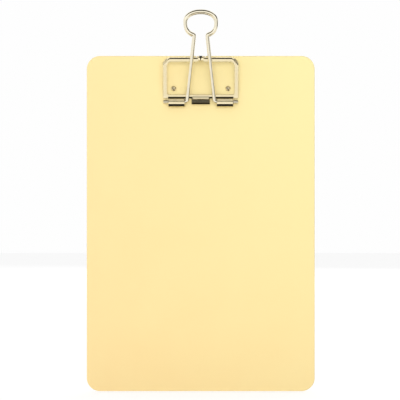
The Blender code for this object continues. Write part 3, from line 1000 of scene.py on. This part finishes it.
# ================================================================================================
# floor, light and camera
# ================================================================================================
def make_stage():
    bm = bmesh.new()
    points = [(-2.5, -0.62), (2.5, -0.62), (2.5, 3.4), (-2.5, 3.4)]
    bm.faces.new([bm.verts.new((x, y, -0.0002)) for x, y in points])
    mesh = bpy.data.meshes.new("floor")
    bm.to_mesh(mesh)
    bm.free()
    floor = bpy.data.objects.new("floor", mesh)
    bpy.context.scene.collection.objects.link(floor)
    mat = bpy.data.materials.new("studio_floor")
    mat.use_nodes = True
    shader = mat.node_tree.nodes["Principled BSDF"]
    shader.inputs["Base Color"].default_value = (0.30, 0.30, 0.30, 1)
    shader.inputs["Roughness"].default_value = 0.9
    shader.inputs["Specular IOR Level"].default_value = 0.0
    shader.inputs["Emission Color"].default_value = (1, 1, 1, 1)
    shader.inputs["Emission Strength"].default_value = 0.74
    # painted shadow: what polished metal mirrors of the floor is painted dark right under the object, and pale further
    # out
    nodes, links = mat.node_tree.nodes, mat.node_tree.links
    where = nodes.new("ShaderNodeTexCoord")
    reach = nodes.new("ShaderNodeVectorMath")
    reach.operation = "LENGTH"
    links.new(where.outputs["Object"], reach.inputs[0])
    painted_shadow_fade = nodes.new("ShaderNodeMapRange")
    painted_shadow_fade.interpolation_type = "SMOOTHSTEP"
    painted_shadow_fade.inputs["From Min"].default_value = 0.12
    painted_shadow_fade.inputs["From Max"].default_value = 0.20
    painted_shadow_fade.inputs["To Min"].default_value = 0.02
    painted_shadow_fade.inputs["To Max"].default_value = 0.95
    links.new(reach.outputs["Value"], painted_shadow_fade.inputs["Value"])
    # painted dark reflection: and has a dark patch at the right
    sides = nodes.new("ShaderNodeSeparateXYZ")
    links.new(where.outputs["Object"], sides.inputs[0])
    patch = None
    for a, b, lo, hi in ((0.38, 0.50, 1.0, 0.12), (1.10, 1.50, 0.0, 0.88)):
        edge = nodes.new("ShaderNodeMapRange")
        edge.interpolation_type = "SMOOTHSTEP"
        for label, v in (("From Min", a), ("From Max", b), ("To Min", lo), ("To Max", hi)):
            edge.inputs[label].default_value = v
        links.new(sides.outputs[0], edge.inputs["Value"])
        if patch is None:
            patch = edge.outputs["Result"]
        else:
            both = nodes.new("ShaderNodeMath")
            both.operation = "ADD"
            links.new(patch, both.inputs[0])
            links.new(edge.outputs["Result"], both.inputs[1])
            patch = both.outputs[0]
    slant = nodes.new("ShaderNodeMath")
    slant.operation = "MULTIPLY_ADD"
    links.new(sides.outputs[0], slant.inputs[0])
    slant.inputs[1].default_value = -0.5
    links.new(sides.outputs[1], slant.inputs[2])
    behind = nodes.new("ShaderNodeMapRange")
    behind.interpolation_type = "SMOOTHSTEP"
    behind.inputs["From Min"].default_value = -0.05
    behind.inputs["From Max"].default_value = 0.10
    links.new(slant.outputs[0], behind.inputs["Value"])
    either = nodes.new("ShaderNodeMath")
    either.operation = "MAXIMUM"
    links.new(patch, either.inputs[0])
    links.new(behind.outputs["Result"], either.inputs[1])
    amount = nodes.new("ShaderNodeMath")
    amount.operation = "MULTIPLY"
    links.new(painted_shadow_fade.outputs["Result"], amount.inputs[0])
    links.new(either.outputs[0], amount.inputs[1])
    mirrored = nodes.new("ShaderNodeEmission")
    links.new(amount.outputs[0], mirrored.inputs["Strength"])
    ray = nodes.new("ShaderNodeLightPath")
    mix = nodes.new("ShaderNodeMixShader")
    links.new(ray.outputs["Is Glossy Ray"], mix.inputs[0])
    links.new(shader.outputs[0], mix.inputs[1])
    links.new(mirrored.outputs[0], mix.inputs[2])
    links.new(mix.outputs[0], nodes["Material Output"].inputs["Surface"])
    mesh.materials.append(mat)

    world = bpy.data.worlds.new("studio")
    bpy.context.scene.world = world
    world.use_nodes = True
    tree = world.node_tree
    tree.nodes.clear()
    out = tree.nodes.new("ShaderNodeOutputWorld")
    coords = tree.nodes.new("ShaderNodeTexCoord")
    split = tree.nodes.new("ShaderNodeSeparateXYZ")
    tree.links.new(coords.outputs["Generated"], split.inputs[0])

    def calc(op, a, b=0.0, clamp=False):
        node = tree.nodes.new("ShaderNodeMath")
        node.operation = op
        node.use_clamp = clamp
        for i, v in enumerate((a, b)):
            if isinstance(v, (int, float)):
                node.inputs[i].default_value = v
            else:
                tree.links.new(v, node.inputs[i])
        return node.outputs[0]

    def step(value, a, b):
        node = tree.nodes.new("ShaderNodeMapRange")
        node.interpolation_type = "SMOOTHSTEP"
        node.inputs["From Min"].default_value = a
        node.inputs["From Max"].default_value = b
        tree.links.new(value, node.inputs["Value"])
        return node.outputs["Result"]

    x, y, z = split.outputs[0], split.outputs[1], split.outputs[2]
    ahead = calc("MULTIPLY", y, -1.0)
    # a soft white room, slightly dimmer at the height of the object, with a dark gap between the
    # overhead light and the front wall, and a narrow dark gap at the right
    def below(value, a, b):
        return calc("SUBTRACT", 1.0, step(value, a, b))

    def product(*factors):
        result = factors[0]
        for factor in factors[1:]:
            result = calc("MULTIPLY", result, factor)
        return result

    across = calc("ABSOLUTE", x)
    level = product(step(z, -0.45, -0.25), below(z, 0.46, 0.54), step(ahead, 0.0, 0.3), 0.06)
    right = product(step(x, 0.60, 0.70), below(x, 0.95, 0.98))
    # as light that falls on things
    gap = product(below(across, 0.62, 0.75), step(ahead, 0.02, 0.16), step(z, 0.47, 0.53), below(z, 0.965, 0.99), 0.98)
    aside = product(right, step(z, -0.40, -0.25), below(z, 0.60, 0.66), step(ahead, -0.10, 0.10), 0.90)
    falling = calc("SUBTRACT", calc("SUBTRACT", calc("SUBTRACT", 1.0, level), gap), aside, True)
    # as polished metal mirrors it
    gap = product(below(across, 0.86, 0.95), step(ahead, 0.12, 0.20), step(z, 0.20, 0.30), 0.98)
    gap = calc("MULTIPLY", gap, calc("SUBTRACT", 1.0, product(step(z, 0.70, 0.74), below(z, 0.80, 0.84), 0.10)))
    aside = product(right, step(z, -0.40, -0.25), below(z, 0.60, 0.66), step(ahead, -0.60, -0.40), 0.90)
    dim = product(step(z, 0.88, 0.94), below(ahead, 0.12, 0.20), 0.36)
    strip = product(step(ahead, 0.75, 0.85), step(z, -0.48, -0.40), below(z, -0.12, -0.06), below(across, 0.35, 0.5), 0.40)
    mirrored = calc("SUBTRACT", calc("SUBTRACT", calc("SUBTRACT", 1.0, level), gap), aside, True)
    mirrored = calc("ADD", calc("SUBTRACT", mirrored, dim), strip)
    path = tree.nodes.new("ShaderNodeLightPath")
    seen = tree.nodes.new("ShaderNodeBackground")
    seen.inputs["Color"].default_value = (1, 1, 1, 1)
    seen.inputs["Strength"].default_value = 0.991
    room = tree.nodes.new("ShaderNodeBackground")
    room.inputs["Color"].default_value = (1, 1, 1, 1)
    value = calc("ADD", falling, calc("MULTIPLY", calc("SUBTRACT", mirrored, falling), path.outputs["Is Glossy Ray"]))
    tree.links.new(calc("MAXIMUM", value, 0.0), room.inputs["Strength"])
    mix = tree.nodes.new("ShaderNodeMixShader")
    tree.links.new(path.outputs["Is Camera Ray"], mix.inputs[0])
    tree.links.new(room.outputs[0], mix.inputs[1])
    tree.links.new(seen.outputs[0], mix.inputs[2])
    tree.links.new(mix.outputs[0], out.inputs["Surface"])

    def lamp(name, place, target, size, power):
        data = bpy.data.lights.new(name, "AREA")
        data.shape = "RECTANGLE"
        data.size, data.size_y = size
        data.energy = power
        ob = bpy.data.objects.new(name, data)
        bpy.context.scene.collection.objects.link(ob)
        ob.location = place
        ob.rotation_euler = (Vector(target) - Vector(place)).to_track_quat("-Z", "Y").to_euler()
        ob.visible_glossy = False
        return ob

    lamp("overhead", (0.0, -0.75, 1.35), (0, 0, 0.12), (1.3, 0.9), 5.5)
    lamp("front_fill", (0.0, -2.2, 0.45), (0, 0, 0.12), (1.6, 1.2), 17.5)
    lamp("back_fill", (0.5, 2.0, 0.9), (0, 0, 0.12), (1.6, 1.2), 12.0)

    data = bpy.data.cameras.new("camera")
    data.sensor_width = 36.0
    distance = 1.300
    data.lens = 36.0 * distance / 0.272
    data.clip_start = 0.05
    data.clip_end = 20.0
    cam = bpy.data.objects.new("camera", data)
    bpy.context.scene.collection.objects.link(cam)
    cam.location = (-0.0005, -0.00125 - distance, 0.130)
    cam.rotation_euler = (math.radians(90), 0, 0)
    bpy.context.scene.camera = cam
    bpy.context.scene.view_settings.view_transform = "Standard"
    bpy.context.scene.view_settings.look = "None"


make_stage()
make_board()
make_front_leg()
make_strap()
make_back_leg()
make_handle("handle_front_wire", "front_handle", "front_lever", FRONT_Z, LEAN, 55.0)
make_handle("handle_back_wire", "back_handle", "back_lever", BACK_Z, 0.0, 54.3)
make_rivet("rivet_left_turned", "rivet_left", -RIVET_X)
make_rivet("rivet_right_turned", "rivet_right", RIVET_X)
